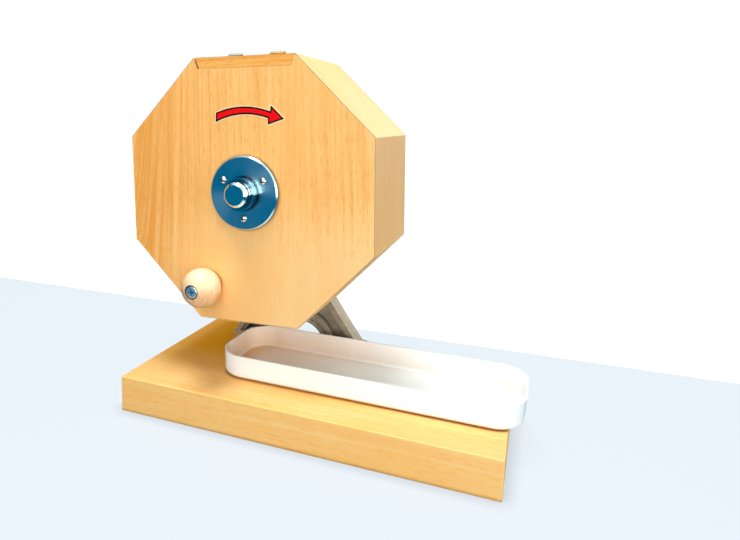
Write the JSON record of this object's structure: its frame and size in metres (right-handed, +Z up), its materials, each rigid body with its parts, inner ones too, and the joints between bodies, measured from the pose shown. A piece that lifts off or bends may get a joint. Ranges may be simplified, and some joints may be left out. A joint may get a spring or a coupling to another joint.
{
  "type": "lottery drum",
  "caption": "Octagonal wooden ball drum turned by a face knob on a fixed spindle, on an A-shaped cast stand and a wooden base, with a shallow catch tray.",
  "frame": {"origin": "centre of the base board's underside", "axes": "+X to the right and +Y away from a person who faces the drum's front, +Z up; the drum's spindle lies along Y"},
  "size_m": [0.404, 0.2153, 0.378],
  "materials": {
    "drum_wood": "satin",
    "base_wood": "satin",
    "knob_wood": "satin",
    "cast_paint": "satin",
    "bright_steel": "satin",
    "chrome": "polished",
    "bronze": "satin",
    "hinge_brass": "satin",
    "hinge_steel": "satin",
    "arrow_label": "gloss",
    "tray_plastic": "satin"
  },
  "bodies": {
    "stand": {"base_board": "base_wood", "stand_casting": "cast_paint", "foot_bolts": "bright_steel", "foot_washers": "bright_steel", "spindle": "bright_steel", "spindle_washer": "bright_steel", "spindle_nut": "bright_steel", "rear_thrust_washer": "bright_steel", "front_thrust_washer": "chrome", "retaining_collar": "chrome", "collar_set_screw": "bright_steel"},
    "drum": {"front_board": "drum_wood", "back_board": "drum_wood", "front_rail": "drum_wood", "outlet_pocket": "drum_wood", "panel_brads": "bright_steel", "front_hub_flange": "chrome", "rear_hub_flange": "chrome", "front_bush": "bronze", "rear_bush": "bronze", "front_flange_screws": "bright_steel", "rear_flange_screws": "bright_steel", "direction_arrow": "arrow_label", "knob_screw": "chrome", "knob_washer": "bright_steel", "knob_tee_nut": "bright_steel", "left_hinge_fixed_leaf": "hinge_steel", "right_hinge_fixed_leaf": "hinge_brass", "left_hinge_pin": "hinge_steel", "right_hinge_pin": "hinge_brass", "hinge_fixed_screws": "bright_steel", "lid_catch_magnet": "bright_steel", "rim_panel_upper_right": "drum_wood", "rim_panel_right": "drum_wood", "rim_panel_lower_right": "drum_wood", "rim_panel_bottom": "drum_wood", "rim_panel_lower_left": "drum_wood", "rim_panel_left": "drum_wood", "rim_panel_upper_left": "drum_wood"},
    "lid": {"lid": "drum_wood", "left_hinge_lid_leaf": "hinge_steel", "right_hinge_lid_leaf": "hinge_brass", "hinge_lid_screws": "bright_steel", "lid_catch_disc": "bright_steel"},
    "knob": {"knob": "knob_wood"},
    "tray": {"tray": "tray_plastic"}
  },
  "joints": [
    {"name": "drum_spin", "type": "hinge", "parent": "stand", "child": "drum", "pos_m": [-0.061, 0, 0.241], "axis": [0, 1, 0], "continuous": true},
    {"name": "knob_spin", "type": "hinge", "parent": "drum", "child": "knob", "pos_m": [-0.09854, -0.0974, 0.14648], "axis": [0, 1, 0], "continuous": true},
    {"name": "lid_hinge", "type": "hinge", "parent": "drum", "child": "lid", "pos_m": [-0.0655, -0.049, 0.37392], "axis": [0.9994, 0, 0.0339], "range_deg": [0, 170]},
    {"name": "tray_slide", "type": "slide", "parent": "stand", "child": "tray", "axis": [0, -1, 0], "range_m": [0, 0.08]}
  ]
}
